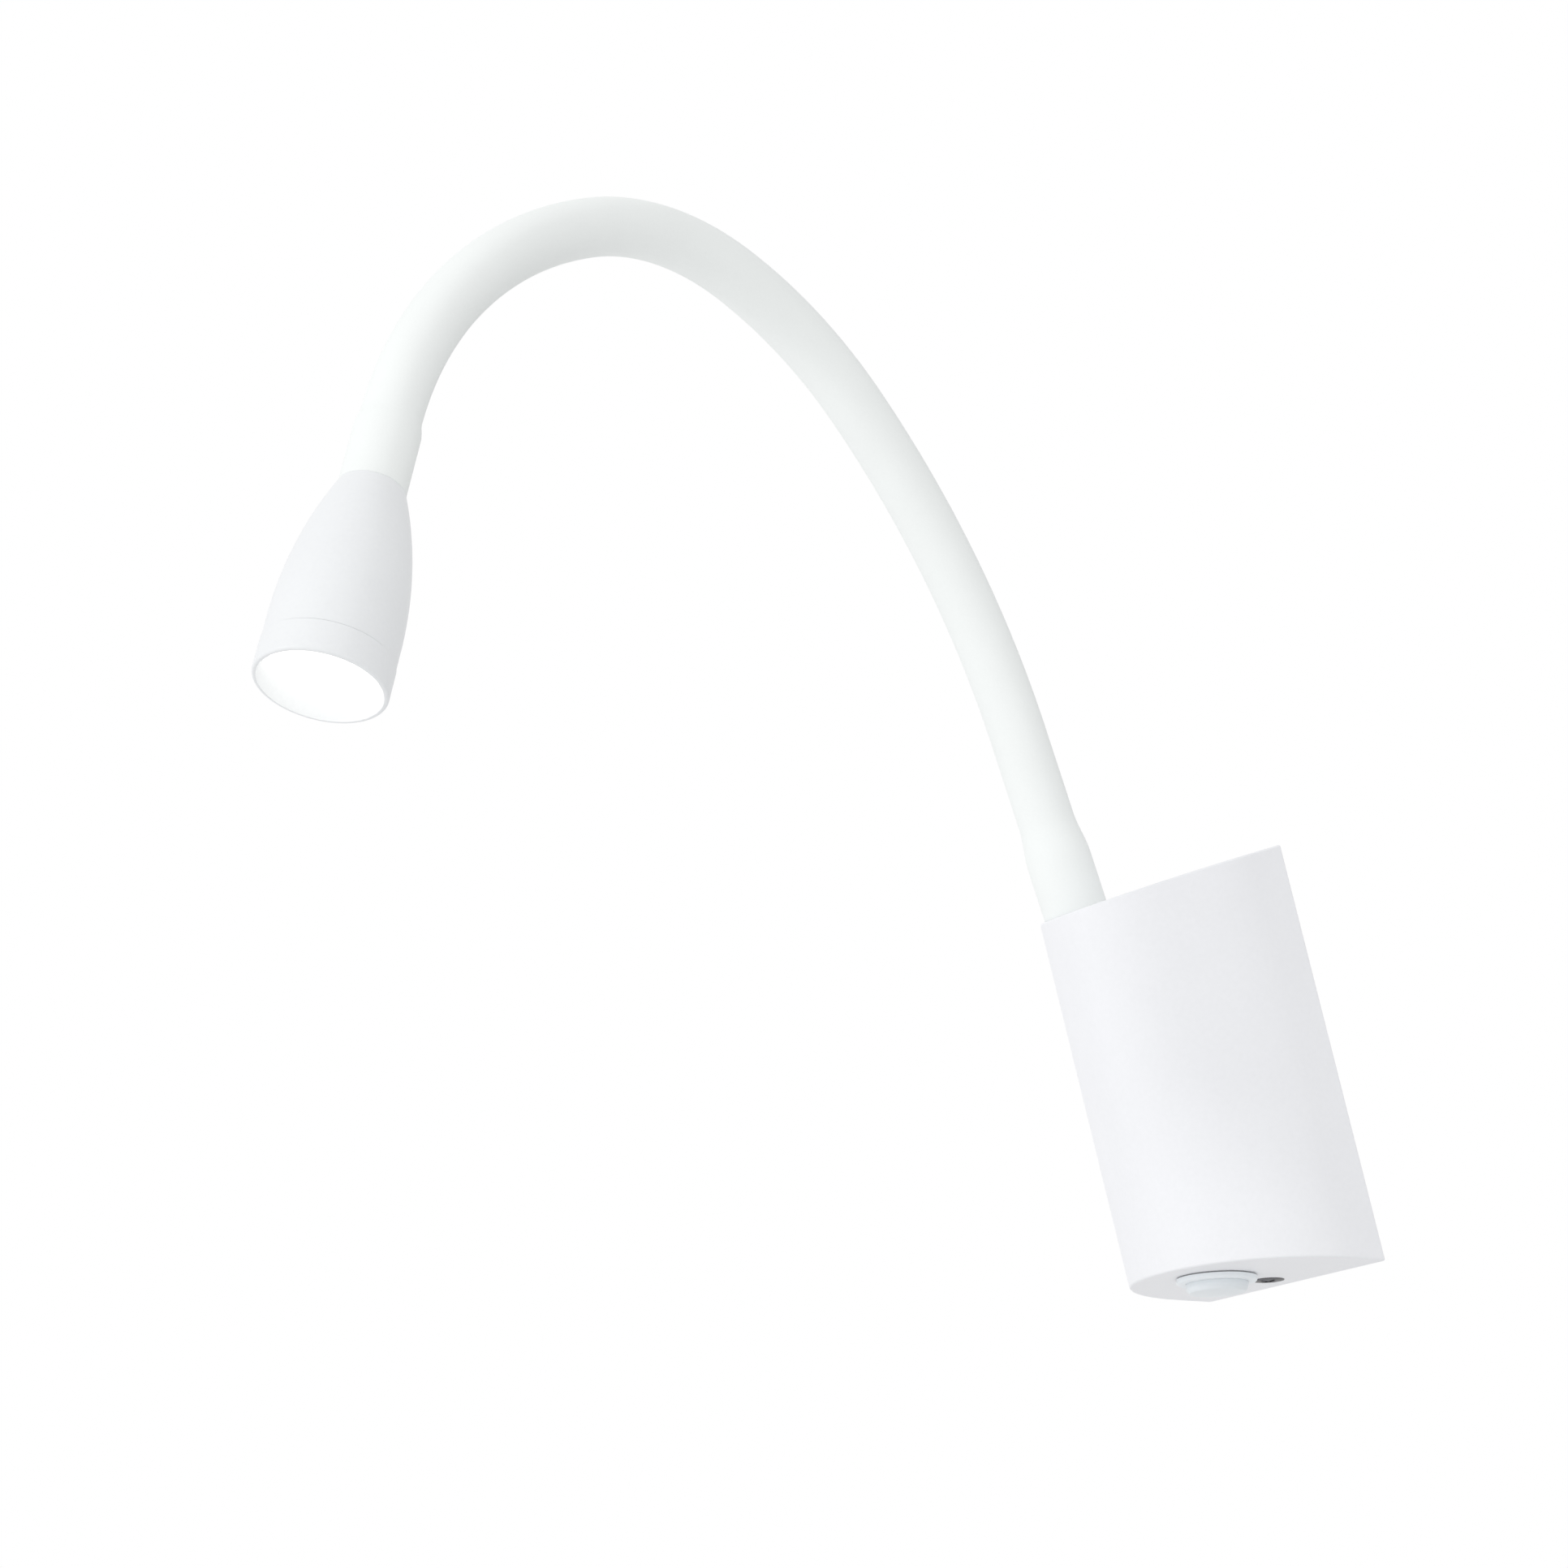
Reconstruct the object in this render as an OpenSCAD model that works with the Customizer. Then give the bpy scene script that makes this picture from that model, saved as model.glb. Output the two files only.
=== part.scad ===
// Flexible LED wall lamp: a D-shaped housing with slanted ends on a wall bracket,
// a push switch underneath, a sleeved flexible arm and a turned bullet head.
// Frame: X to the right facing the wall, Y into the wall, Z up, origin at the
// middle of the back face. The arm is a chain of ball-ended links along one curve.

/* [Housing] */
// Width of the housing at the wall
housing_w = 62; // [60:0.5:66]
// Height of the housing at the wall
housing_h = 95; // [92:0.5:104]
// Depth of the housing out from the wall
housing_d = 37; // [36:0.5:40]
// Radius of the two side curves of the section
side_r = 27; // [26:0.5:28.5]
// Radius of the front curve of the section
front_r = 40.5; // [39:0.5:44]
// Wall thickness of the casting
wall_t = 1.8; // [1.5:0.1:2]
// Forward fall of the top face in degrees
top_slope = 5.5; // [4:0.5:9]
// Forward rise of the bottom face in degrees
bottom_slope = 13; // [10:0.5:15]

/* [Wall bracket] */
// Width of the bracket plate
bracket_w = 46; // [42:1:50]
// Thickness of the bracket plate
bracket_t = 2; // [1.5:0.1:2.2]
// Height between the two wall screws
wall_hole_pitch = 60; // [56:1:62]
// Diameter of the wall screw slots
wall_hole_dia = 4.5; // [4:0.1:5]
// Diameter of the cable hole in the plate
cable_hole_dia = 9; // [8:0.5:9.5]

/* [Switch] */
// Diameter of the switch flange
flange_dia = 18; // [17.5:0.1:19]
// Diameter of the threaded switch barrel
barrel_dia = 15.8; // [15.4:0.1:16]
// Diameter of the push button
button_dia = 14; // [13.6:0.1:14.4]
// Distance of the switch from the wall
switch_depth = 22.4; // [22:0.1:23]
// How far the button goes in
button_travel = 2; // [1.5:0.1:2.2]

/* [Arm] */
// Outer diameter of the arm sleeve
arm_dia = 13; // [12:0.1:13]
// Diameter of the metal flexible core
core_dia = 9.2; // [8:0.1:9.4]
// Length of each arm link along its curve
link_len = 42.5; // [38:0.1:46]
// Distance of the arm's axis in from the outside of the housing
arm_inset = 8.6; // [8.5:0.1:9.5]
// Place of the arm around the left side curve in degrees
arm_angle = 52.5; // [45:0.5:60]
// Turn of the arm's plane to the right of straight out
arm_heading = 8.9; // [-10:0.1:20]
// Bend of link 1 in degrees
bend_1 = 12.6; // [6:0.1:24]
// Bend of link 2 in degrees
bend_2 = 12; // [6:0.1:24]
// Bend of link 3 in degrees
bend_3 = 24.6; // [10:0.1:34]
// Bend of link 4 in degrees
bend_4 = 41.4; // [20:0.1:48]
// Bend of link 5 in degrees
bend_5 = 25.2; // [10:0.1:36]
// Bend of link 6 in degrees
bend_6 = 26.5; // [10:0.1:36]

/* [Head] */
// Diameter of the head at its front ring
head_dia = 28; // [27:0.5:30]
// Length of the head from its neck to the front rim
head_len = 47.5; // [46:0.5:50]
// Length of the front ring
ring_len = 7.2; // [6.8:0.1:8]
// Radius of the ogive that shapes the head
ogive_r = 95; // [88:1:110]
// Depth of the lens behind the rim
lens_recess = 4.7; // [4.2:0.1:5.2]

/* [Hidden] */
$fn = 64;

eps = 0.01;
run_fit = 0.05;     // radial play of pieces that fit into each other
joint_gap = 0.7;    // play between the ball of one link and the cup of the next

// section of the housing: side curves tangent to the flanks and the front curve
front_cy = housing_d - front_r;
side_cx = housing_w / 2 - side_r;
side_cy = front_cy + sqrt(pow(front_r - side_r, 2) - pow(side_cx, 2));
ray_len = 2 * housing_d;
top_tan = tan(top_slope);
bottom_tan = tan(bottom_slope);
end_t = wall_t + 0.6;
bracket_h = housing_h - 17;

// pieces on the bracket plate, side by side with the grommet between them
grommet_wall = 1.4;
grommet_r = cable_hole_dia / 2 - run_fit + grommet_wall;
inner_gap = 0.6;
block_size = [18, 20, 11];
driver_size = [19, 58, 15];
block_x = -grommet_r - inner_gap - block_size[0] / 2;
driver_x = grommet_r + inner_gap + driver_size[0] / 2;
driver_z = 3;
clamp_r = 2;
clamp_y = 4.5;
clamp_z = 4;

// switch, along the inward normal of the bottom face
gasket_t = 0.3;
flange_t = 1.2;
flange_z = -gasket_t - flange_t;
barrel_len = 12;
button_out = 2.6;
button_in = 5;
button_edge = 2;
bore_depth = button_in + button_travel + 1;
fixing_depth = 7.8;
fixing_dia = 4;
fixing_head_dia = 7.2;
fixing_head_t = 1.6;
fixing_sink = 1.2;

// arm and its end fittings
arm_x = -side_cx - (side_r - arm_inset) * cos(arm_angle);
arm_depth = side_cy + (side_r - arm_inset) * sin(arm_angle);
arm_r = arm_dia / 2;
core_r = core_dia / 2;
wire_r = 2.2;
stem_r = 4;
stem_drop = 11;
collar_r = arm_r + 0.95;
collar_len = 21;
ball_r = arm_r - 0.2;
cup_r = ball_r + joint_gap;
plug_t = 1;
stem_up = 16;
last_link = 6;
bends = [0, bend_1, bend_2, bend_3, bend_4, bend_5, bend_6];

// head, along its axis from the last arm station
ferrule_len = 17.8;
head_r = head_dia / 2;
neck_r = 7.2;
shell_r = head_r - 0.15;
back_t = 4;
rim_z = ferrule_len + head_len;
seam_z = rim_z - ring_len;
straight_z = seam_z - 5.3;
lens_z = rim_z - lens_recess;
lens_t = 5.6;
board_z = lens_z - lens_t - 1.2;
sink_len = 13;
thread_r = shell_r - 1.1;
thread_len = ring_len - lens_recess;
seat_r = thread_r - 1.2;
seam_gap = 0.14;

white_paint = [0.93, 0.94, 0.96];
white_rubber = [0.94, 0.95, 0.94];
bare_steel = [0.75, 0.76, 0.78];
brass_tone = [0.80, 0.66, 0.34];
dark_plastic = [0.20, 0.21, 0.23];
pale_plastic = [0.88, 0.88, 0.85];
warm_light = [1.00, 0.96, 0.86];

// matrices that carry the arm's stations
function moved(v) = [[1, 0, 0, v[0]], [0, 1, 0, v[1]], [0, 0, 1, v[2]], [0, 0, 0, 1]];
function turned_x(a) = [[1, 0, 0, 0], [0, cos(a), -sin(a), 0], [0, sin(a), cos(a), 0], [0, 0, 0, 1]];
function turned_y(a) = [[cos(a), 0, sin(a), 0], [0, 1, 0, 0], [-sin(a), 0, cos(a), 0], [0, 0, 0, 1]];
function turned_z(a) = [[cos(a), -sin(a), 0, 0], [sin(a), cos(a), 0, 0], [0, 0, 1, 0], [0, 0, 0, 1]];
function bend_r(b, len) = len / (b * PI / 180);
function curve_step(b, len) = abs(b) < 0.1
    ? moved([0, 0, len])
    : moved([bend_r(b, len) * (1 - cos(b)), 0, bend_r(b, len) * sin(b)]) * turned_y(b);
function core_start(k) = k == 0 ? stem_up + 2 : cup_r + 1.6;
function along(k, len) = curve_step(bends[k] * len / link_len, len);
function station(k) = k == 0
    ? moved([arm_x, -arm_depth, housing_h / 2 - arm_depth * top_tan])
        * turned_x(top_slope) * turned_z(arm_heading - 90)
    : station(k - 1) * along(k - 1, link_len);

// local frames: Z along the inward normal below, along the outward normal on top
module on_bottom(x, depth) {
    translate([x, -depth, -housing_h / 2 + depth * bottom_tan])
        rotate([-bottom_slope, 0, 0])
            children();
}

module on_top(x, depth) {
    translate([x, -depth, housing_h / 2 - depth * top_tan])
        rotate([top_slope, 0, 0])
            children();
}

module on_plate(x, z) {
    translate([x, -bracket_t, z])
        rotate([90, 0, 0])
            children();
}

module on_head() {
    multmatrix(station(last_link + 1))
        children();
}

// outline of the housing seen from above, drawn inwards by inset
module d_section(inset, back) {
    intersection() {
        translate([-housing_w, -2 * housing_d])
            square([2 * housing_w, 2 * housing_d + back]);
        union() {
            translate([-housing_w / 2 + inset, -side_cy])
                square([housing_w - 2 * inset, side_cy + back]);
            for (s = [-1, 1])
                translate([s * side_cx, -side_cy])
                    circle(side_r - inset);
            intersection() {
                translate([0, -front_cy])
                    circle(front_r - inset);
                polygon([
                    [0, -front_cy],
                    [-ray_len * side_cx, -front_cy - ray_len * (side_cy - front_cy)],
                    [ray_len * side_cx, -front_cy - ray_len * (side_cy - front_cy)]
                ]);
            }
        }
    }
}

// upright block of the section, cut by the two slanted ends
module d_block(inset, end_inset, back) {
    reach = housing_d + 10;
    top_in = end_inset / cos(top_slope);
    bottom_in = end_inset / cos(bottom_slope);
    intersection() {
        translate([0, 0, -housing_h])
            linear_extrude(2 * housing_h)
                d_section(inset, back);
        rotate([90, 0, 90])
            translate([0, 0, -housing_w])
                linear_extrude(2 * housing_w)
                    polygon([
                        [back, housing_h / 2 - top_in + back * top_tan],
                        [-reach, housing_h / 2 - top_in - reach * top_tan],
                        [-reach, -housing_h / 2 + bottom_in + reach * bottom_tan],
                        [back, -housing_h / 2 + bottom_in - back * bottom_tan]
                    ]);
    }
}

module hex_nut(flats, height, bore_r, turn) {
    difference() {
        rotate([0, 0, turn])
            cylinder(r = flats / 2 / cos(30), h = height, $fn = 6);
        translate([0, 0, -1])
            cylinder(r = bore_r, h = height + 2);
    }
}

module tube(outer_r, inner_r, height) {
    difference() {
        cylinder(r = outer_r, h = height);
        translate([0, 0, -1])
            cylinder(r = inner_r, h = height + 2);
    }
}

// pan head screw standing on z = 0 with its shank towards +z and a cross recess
module pan_screw(shank_r, shank_len, head_r, head_t) {
    crown_r = 6 * head_r;
    difference() {
        union() {
            translate([0, 0, -eps])
                cylinder(r = shank_r, h = shank_len);
            translate([0, 0, -head_t])
                rotate_extrude()
                    intersection() {
                        translate([0, crown_r])
                            circle(crown_r, $fn = 128);
                        square([head_r, head_t]);
                    }
        }
        for (a = [0, 90])
            rotate([0, 0, a])
                translate([-0.6 * head_r, -0.4, -2 * head_t])
                    cube([1.2 * head_r, 0.8, 1.6 * head_t]);
    }
}

// round tube along a curve that leaves the origin upwards and bends towards +X
module curved_tube(b, len, outer_r, inner_r) {
    if (abs(b) < 0.1)
        tube(outer_r, inner_r, len);
    else
        rotate([0, 0, b < 0 ? 180 : 0])
            translate([bend_r(abs(b), len), 0, 0])
                rotate([90, 0, 180])
                    rotate_extrude(angle = abs(b))
                        translate([bend_r(abs(b), len), 0])
                            difference() {
                                circle(outer_r);
                                circle(inner_r);
                            }
}

module housing() {
    color(white_paint) difference() {
        union() {
            difference() {
                d_block(0, 0, 0);
                d_block(wall_t, end_t, 1);
            }
            // lip under the top face that drops into the bracket's hook
            intersection() {
                translate([-10, -5.4, housing_h / 2 - 8])
                    cube([20, 1.8, 8]);
                d_block(wall_t / 2, end_t / 2, 0);
            }
        }
        on_top(arm_x, arm_depth)
            translate([0, 0, -3 * end_t])
                cylinder(r = stem_r + run_fit, h = 6 * end_t);
        on_bottom(0, switch_depth)
            translate([0, 0, -5])
                cylinder(r = barrel_dia / 2 + 0.1, h = 15);
        on_bottom(0, fixing_depth) {
            translate([0, 0, -5])
                cylinder(r = fixing_dia / 2 + 0.2, h = 12);
            translate([0, 0, -5])
                cylinder(r = fixing_head_dia / 2 + 0.2, h = 5 + fixing_sink);
        }
    }
}

module wall_bracket() {
    corner = 4;
    hook_z = housing_h / 2 - 8 - bracket_t;
    color(bare_steel) difference() {
        union() {
            translate([0, 0, -bracket_h / 2])
                rotate([90, 0, 0])
                    linear_extrude(bracket_t)
                        for (s = [-1, 1])
                            union() {
                                translate([-bracket_w / 2 + corner, 0])
                                    square([bracket_w - 2 * corner, bracket_h]);
                                translate([-bracket_w / 2, corner])
                                    square([bracket_w, bracket_h - 2 * corner]);
                                for (h = [corner, bracket_h - corner])
                                    translate([s * (bracket_w / 2 - corner), h])
                                        circle(corner);
                            }
            // hook that carries the lip of the housing
            translate([-9, -7.6, hook_z])
                cube([18, 7.6, bracket_t]);
            translate([-9, -7.6, hook_z])
                cube([18, 1.8, bracket_t + 4]);
            translate([-9, -bracket_t, bracket_h / 2 - corner - 2])
                cube([18, bracket_t, hook_z - bracket_h / 2 + corner + 2 + bracket_t]);
            // slanted foot over the bottom wall, tapped for the fixing screw
            intersection() {
                on_bottom(0, 0)
                    translate([-7, -12, end_t])
                        cube([14, 14, bracket_t + 1]);
                translate([-7, -11.8, -housing_h])
                    cube([14, 11.8, 2 * housing_h]);
            }
            translate([-7, -bracket_t, -housing_h / 2 + end_t / cos(bottom_slope) + bracket_t])
                cube([14, bracket_t, 12]);
        }
        for (s = [-1, 1])
            on_plate(0, s * wall_hole_pitch / 2)
                for (z = [-2, 2])
                    translate([0, z, -5])
                        cylinder(r = wall_hole_dia / 2, h = 10);
        for (s = [-1, 1])
            on_plate(0, s * wall_hole_pitch / 2)
                translate([-wall_hole_dia / 2, -2, -5])
                    cube([wall_hole_dia, 4, 10]);
        on_plate(0, 0)
            translate([0, 0, -5])
                cylinder(r = cable_hole_dia / 2, h = 10);
        on_plate(-16, -26)
            translate([0, 0, -5])
                cylinder(r = 2 + run_fit, h = 10);
        on_bottom(0, fixing_depth)
            translate([0, 0, end_t - 1])
                cylinder(r = fixing_dia / 2 + run_fit, h = 10);
    }
}

module cable_grommet() {
    lip = 1.5;
    bore_r = grommet_r - 2 * grommet_wall;
    color(dark_plastic) on_plate(0, 0)
        rotate_extrude()
            difference() {
                union() {
                    translate([bore_r, -bracket_t])
                        square([grommet_wall, bracket_t + lip]);
                    translate([bore_r, 0])
                        square([2 * grommet_wall, lip]);
                }
                translate([grommet_r, lip])
                    circle(grommet_wall / 2);
            }
}

module fixing_screw() {
    color(bare_steel) on_bottom(0, fixing_depth)
        translate([0, 0, fixing_sink])
            pan_screw(fixing_dia / 2, 9, fixing_head_dia / 2, fixing_head_t);
}

module earth_screw() {
    color(brass_tone) on_plate(-16, -26)
        mirror([0, 0, 1]) {
            pan_screw(2, bracket_t, 3.6, 2.4);
        }
}

module terminal_block() {
    size = block_size;
    pitch = size[0] / 3;
    color(pale_plastic) on_plate(block_x, 0)
        translate([-size[0] / 2, -size[1] / 2, 0])
            difference() {
                cube(size);
                for (i = [0:2]) {
                    for (s = [-1, 1])
                        translate([pitch * (i + 0.5), size[1] / 2 + s * clamp_y, clamp_z])
                            cylinder(r = clamp_r, h = size[2]);
                    translate([pitch * (i + 0.5), -1, 2.6])
                        rotate([-90, 0, 0])
                            cylinder(r = 1.5, h = 4);
                }
                for (i = [1, 2])
                    translate([pitch * i - 0.4, -1, 7])
                        cube([0.8, size[1] + 2, 5]);
            }
}

module terminal_screws() {
    color(brass_tone) on_plate(block_x, 0)
        for (i = [-1, 0, 1])
            for (s = [-1, 1])
                translate([block_size[0] / 3 * i, s * clamp_y, clamp_z])
                    difference() {
                        cylinder(r = clamp_r - run_fit, h = 4.5);
                        translate([-3, -0.35, 3.5])
                            cube([6, 0.7, 2]);
                    }
}

module led_driver() {
    size = driver_size;
    edge = 1.5;
    color(pale_plastic) on_plate(driver_x, driver_z)
        difference() {
            union() {
                translate([-size[0] / 2, -size[1] / 2 + edge, 0])
                    cube([size[0], size[1] - 2 * edge, size[2] - edge]);
                translate([-size[0] / 2 + edge, -size[1] / 2, 0])
                    cube([size[0] - 2 * edge, size[1], size[2]]);
            }
            for (s = [-1, 1])
                translate([0, s * size[1] / 2, 5])
                    rotate([90, 0, 0])
                        for (x = [-3.5, 3.5])
                            translate([x, 0, -3])
                                cylinder(r = 1.2, h = 6);
        }
}

module switch_body() {
    edge = 0.5;
    color(white_paint) on_bottom(0, switch_depth)
        difference() {
            union() {
                rotate_extrude()
                    union() {
                        translate([0, flange_z + edge])
                            square([flange_dia / 2, flange_t - edge]);
                        translate([0, flange_z])
                            square([flange_dia / 2 - edge, flange_t]);
                        translate([flange_dia / 2 - edge, flange_z + edge])
                            circle(edge);
                    }
                translate([0, 0, -gasket_t - eps])
                    cylinder(r = barrel_dia / 2, h = barrel_len + gasket_t + eps);
                translate([-6.2, -6.2, barrel_len - eps])
                    cube([12.4, 12.4, 9]);
            }
            translate([0, 0, flange_z - 1])
                cylinder(r = button_dia / 2 + run_fit, h = bore_depth - flange_z + 1);
        }
}

// seal between the flange and the bottom face
module switch_gasket() {
    color(dark_plastic) on_bottom(0, switch_depth)
        translate([0, 0, -gasket_t])
            tube(flange_dia / 2 - 0.25, barrel_dia / 2 + run_fit, gasket_t);
}

module switch_nut() {
    color(bare_steel) on_bottom(0, switch_depth)
        translate([0, 0, end_t])
            hex_nut(18.6, 3, barrel_dia / 2 + run_fit, 0);
}

module switch_terminals() {
    color(brass_tone) on_bottom(0, switch_depth)
        for (s = [-1, 1])
            translate([s * 3.4 - 0.4, -2.4, barrel_len + 9 - eps])
                difference() {
                    cube([0.8, 4.8, 6.5]);
                    translate([-1, 2.4, 4.4])
                        rotate([0, 90, 0])
                            cylinder(r = 0.8, h = 3);
                }
}

// cap with a crowned face and a full round edge
module switch_button() {
    r = button_dia / 2;
    face_z = flange_z - button_out;
    crown_r = 6 * r;
    color(white_paint) on_bottom(0, switch_depth)
        rotate_extrude()
            intersection() {
                union() {
                    translate([0, face_z + button_edge])
                        square([r, button_in - face_z - button_edge]);
                    translate([0, face_z])
                        square([r - button_edge, 2 * button_edge]);
                    translate([r - button_edge, face_z + button_edge])
                        circle(button_edge);
                }
                translate([0, face_z + crown_r])
                    circle(crown_r, $fn = 128);
            }
}

module arm_stem() {
    color(bare_steel) on_top(arm_x, arm_depth)
        difference() {
            union() {
                translate([0, 0, -stem_drop])
                    cylinder(r = stem_r, h = stem_drop + eps);
                cylinder(r = core_r, h = stem_up);
            }
            translate([0, 0, -stem_drop - 1])
                cylinder(r = wire_r, h = stem_drop + stem_up + 2);
        }
}

module arm_washer() {
    color(bare_steel) on_top(arm_x, arm_depth)
        translate([0, 0, -end_t - 1])
            tube(6.3, stem_r + run_fit, 1);
}

module arm_nut() {
    side_turn = atan2(-(arm_depth - side_cy), arm_x + side_cx);
    color(bare_steel) on_top(arm_x, arm_depth)
        translate([0, 0, -end_t - 1 - 5])
            hex_nut(12.6, 5, stem_r + run_fit, side_turn - 30);
}

module base_collar() {
    taper = 7.5;
    color(white_rubber) multmatrix(station(0))
        rotate_extrude()
            polygon([
                [arm_r + run_fit, 0],
                [collar_r, 0],
                [collar_r, collar_len - taper],
                [arm_r + 0.3, collar_len],
                [arm_r + run_fit, collar_len]
            ]);
}

// ball that a link turns on, plugged into its end, with the wire's way through it
module ball_profile() {
    intersection() {
        circle(ball_r);
        translate([wire_r, -plug_t])
            square([ball_r, ball_r + plug_t]);
    }
}

// straight base link: pushed over the stem below, a ball on top
module base_link() {
    color(white_rubber) multmatrix(station(0))
        rotate_extrude()
            difference() {
                union() {
                    translate([wire_r, 0])
                        square([arm_r - wire_r, link_len]);
                    translate([0, link_len])
                        ball_profile();
                }
                square([core_r + run_fit, stem_up]);
                translate([0, core_start(0)])
                    square([core_r + run_fit, link_len - plug_t - core_start(0)]);
            }
}

// bent link of the sleeve: a cup at its start and a ball or a plain end
module sleeve(k) {
    color(white_rubber) multmatrix(station(k)) {
        difference() {
            curved_tube(bends[k], link_len, arm_r, core_r + run_fit);
            sphere(cup_r);
        }
        if (k < last_link)
            multmatrix(along(k, link_len))
                rotate_extrude()
                    ball_profile();
    }
}

// flexible metal tube inside a link
module core(k) {
    len = link_len - core_start(k) - plug_t;
    color(bare_steel) multmatrix(station(k) * along(k, core_start(k)))
        curved_tube(bends[k] * len / link_len, len, core_r, wire_r);
}

module head_collar() {
    rise = 3;
    inner = core_r + run_fit;
    color(white_rubber) on_head()
        rotate_extrude()
            polygon([
                [inner, 0],
                [arm_r, 0],
                [neck_r - 0.1, rise],
                [neck_r - 0.1, ferrule_len],
                [inner, ferrule_len]
            ]);
}

module head_stem() {
    color(bare_steel) on_head()
        difference() {
            union() {
                translate([0, 0, 0.2])
                    cylinder(r = core_r, h = ferrule_len - 0.2);
                cylinder(r = stem_r, h = ferrule_len + 2 * back_t);
                translate([0, 0, ferrule_len + back_t])
                    cylinder(r = 6 / cos(30), h = back_t, $fn = 6);
            }
            translate([0, 0, -1])
                cylinder(r = wire_r, h = ferrule_len + 3 * back_t);
        }
}

// half section of the bullet: an ogive that runs into a short straight stretch
module bullet_profile() {
    intersection() {
        translate([shell_r - ogive_r, straight_z])
            circle(ogive_r, $fn = 128);
        translate([0, ferrule_len])
            square([shell_r, straight_z - ferrule_len]);
    }
    translate([0, straight_z])
        square([shell_r, seam_z - straight_z]);
}

// turned cavity behind the heat sink and the bored seat in front of it
module bullet_cavity() {
    back_z = ferrule_len + back_t;
    seat_z = board_z - sink_len;
    polygon([
        [0, back_z],
        [stem_r + 3.2, back_z],
        [seat_r - 1.4, seat_z],
        [seat_r, seat_z],
        [seat_r, rim_z],
        [0, rim_z]
    ]);
}

module head_shell() {
    color(white_paint) on_head()
        rotate_extrude()
            difference() {
                union() {
                    bullet_profile();
                    translate([0, straight_z])
                        square([thread_r, seam_z - straight_z + thread_len]);
                }
                bullet_cavity();
                square([stem_r + run_fit, ferrule_len + 2 * back_t]);
            }
}

module head_ring() {
    lip = 0.9;
    edge = 0.6;
    cover = 0.3;
    color(white_paint) on_head()
        rotate_extrude()
            difference() {
                union() {
                    translate([0, seam_z + seam_gap])
                        square([head_r, ring_len - seam_gap - edge]);
                    translate([0, seam_z + seam_gap])
                        square([head_r - edge, ring_len - seam_gap]);
                    translate([head_r - edge, rim_z - edge])
                        circle(edge);
                }
                translate([0, seam_z])
                    square([thread_r + run_fit, thread_len + run_fit]);
                polygon([
                    [0, seam_z],
                    [seat_r - cover, seam_z],
                    [seat_r - cover, lens_z + run_fit],
                    [head_r - lip, rim_z + run_fit],
                    [0, rim_z + run_fit]
                ]);
            }
}

module heat_sink() {
    r = seat_r - run_fit;
    fins = 10;
    color(bare_steel) on_head()
        difference() {
            translate([0, 0, board_z - sink_len])
                cylinder(r = r, h = sink_len);
            for (i = [0:fins - 1])
                rotate([0, 0, 360 / fins * i])
                    translate([r - 2.4, -0.7, board_z - sink_len - 1])
                        cube([4, 1.4, sink_len - 3]);
            translate([0, 0, board_z - sink_len - 1])
                cylinder(r = wire_r, h = sink_len + 2);
        }
}

module led_board() {
    color(pale_plastic) on_head()
        translate([0, 0, board_z])
            difference() {
                cylinder(r = 10.5, h = 1.2);
                for (s = [-1, 1])
                    translate([s * 8.6, 0, -1])
                        cylinder(r = 1 + run_fit, h = 4);
            }
}

module board_screws() {
    color(bare_steel) on_head()
        for (s = [-1, 1])
            translate([s * 8.6, 0, board_z + 1.2])
                mirror([0, 0, 1])
                    pan_screw(1, 1.2, 1.7, 1);
}

module led_emitter() {
    color(warm_light) on_head()
        translate([0, 0, board_z + 1.2]) {
            translate([-2.5, -2.5, 0])
                cube([5, 5, 0.7]);
            intersection() {
                translate([0, 0, 0.5])
                    sphere(1.9);
                translate([-3, -3, 0])
                    cube([6, 6, 4]);
            }
        }
}

module lens() {
    base_r = 5;
    flange_r = seat_r - run_fit;
    color(warm_light) on_head()
        rotate_extrude()
            difference() {
                polygon([
                    [0, lens_z - lens_t],
                    [base_r, lens_z - lens_t],
                    [flange_r - 1.2, lens_z - 1.4],
                    [flange_r, lens_z - 1.4],
                    [flange_r, lens_z],
                    [0, lens_z]
                ]);
                translate([0, lens_z - lens_t - 1])
                    square([4.2, 4]);
            }
}

module lens_gasket() {
    color(dark_plastic) on_head()
        translate([0, 0, lens_z - 2.4])
            tube(seat_r - run_fit, seat_r - 1.2, 1);
}

housing();
wall_bracket();
cable_grommet();
fixing_screw();
earth_screw();
terminal_block();
terminal_screws();
led_driver();
switch_body();
switch_gasket();
switch_nut();
switch_terminals();
switch_button();
arm_stem();
arm_washer();
arm_nut();
base_collar();
base_link();  // sleeve_0
sleeve(1);  // sleeve_1
sleeve(2);  // sleeve_2
sleeve(3);  // sleeve_3
sleeve(4);  // sleeve_4
sleeve(5);  // sleeve_5
sleeve(6);  // sleeve_6
core(0);  // core_0
core(1);  // core_1
core(2);  // core_2
core(3);  // core_3
core(4);  // core_4
core(5);  // core_5
core(6);  // core_6
head_collar();
head_stem();
head_shell();
head_ring();
heat_sink();
led_board();
board_screws();
led_emitter();
lens();
lens_gasket();
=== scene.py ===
"""Looks of a flexible LED wall lamp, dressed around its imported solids.

The frame gives the solids. This script gives them their finishes, rounds the
edges that catch the light, lays one smooth sleeve over the links of the arm,
and sets up the studio.
"""

from __future__ import annotations

import logging
import math
from dataclasses import dataclass, field
from enum import Enum
from typing import Dict, List, Optional, Sequence, Tuple, Union

import bpy
from mathutils import Matrix, Vector


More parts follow.
